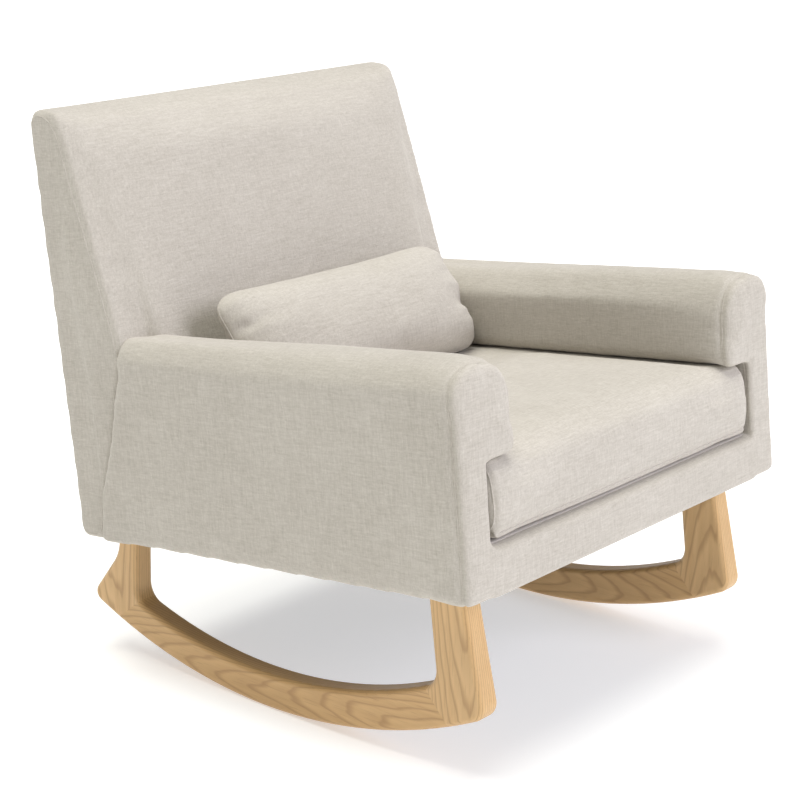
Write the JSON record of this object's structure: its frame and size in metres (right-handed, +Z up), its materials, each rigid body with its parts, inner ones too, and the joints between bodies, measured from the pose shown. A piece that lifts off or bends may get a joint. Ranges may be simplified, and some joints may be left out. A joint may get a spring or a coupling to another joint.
{
  "type": "upholstered rocking chair",
  "caption": "Upholstered nursery rocking armchair with a leaning back, loose seat cushion and lumbar pillow on sculpted wooden runners.",
  "frame": {"origin": "centre of the bounding box in plan, on the floor under the runners", "axes": "+Z up, front of the seat faces -Y, +X to the left of a person sitting in the chair"},
  "size_m": [0.75, 0.8281, 0.8497],
  "materials": {
    "rocker_oak": "satin",
    "dowel_wood": "matte",
    "frame_wood": "matte",
    "zinc_steel": "satin",
    "webbing": "matte",
    "panel_board": "matte",
    "deck_cloth": "matte",
    "dust_cloth": "matte",
    "linen_cover": "matte",
    "linen_cushion": "matte",
    "linen_pillow": "matte"
  },
  "bodies": {
    "chair": {"front_leg_left": "rocker_oak", "front_leg_right": "rocker_oak", "runner_left": "rocker_oak", "runner_right": "rocker_oak", "rear_leg_left": "rocker_oak", "rear_leg_right": "rocker_oak", "joint_dowels": "dowel_wood", "front_rail": "frame_wood", "rear_rail": "frame_wood", "side_rail_left": "frame_wood", "side_rail_right": "frame_wood", "corner_blocks": "frame_wood", "arm_post_left": "frame_wood", "arm_post_right": "frame_wood", "arm_board_left": "frame_wood", "arm_board_right": "frame_wood", "back_stile_left": "frame_wood", "back_stile_right": "frame_wood", "back_top_rail": "frame_wood", "back_lower_rail": "frame_wood", "leg_bolts": "zinc_steel", "leg_washers": "zinc_steel", "leg_inserts": "zinc_steel", "seat_webbing_long": "webbing", "seat_webbing_cross": "webbing", "back_webbing": "webbing", "side_panel_left": "panel_board", "side_panel_right": "panel_board", "seat_deck": "deck_cloth", "dust_cover": "dust_cloth", "arm_left": "linen_cover", "arm_right": "linen_cover", "back_pad": "linen_cover", "outside_back": "linen_cover", "front_border": "linen_cover"},
    "seat_cushion": {"seat_cushion": "linen_cushion"},
    "lumbar_pillow": {"lumbar_pillow": "linen_pillow"}
  },
  "joints": [
    {"name": "seat_cushion_slide", "type": "slide", "parent": "chair", "child": "seat_cushion", "axis": [0, -0.9945, 0.1045], "range_m": [0, 0.6]},
    {"name": "lumbar_pillow_lift", "type": "slide", "parent": "chair", "child": "lumbar_pillow", "axis": [0, 0, 1], "range_m": [0, 0.45]}
  ]
}
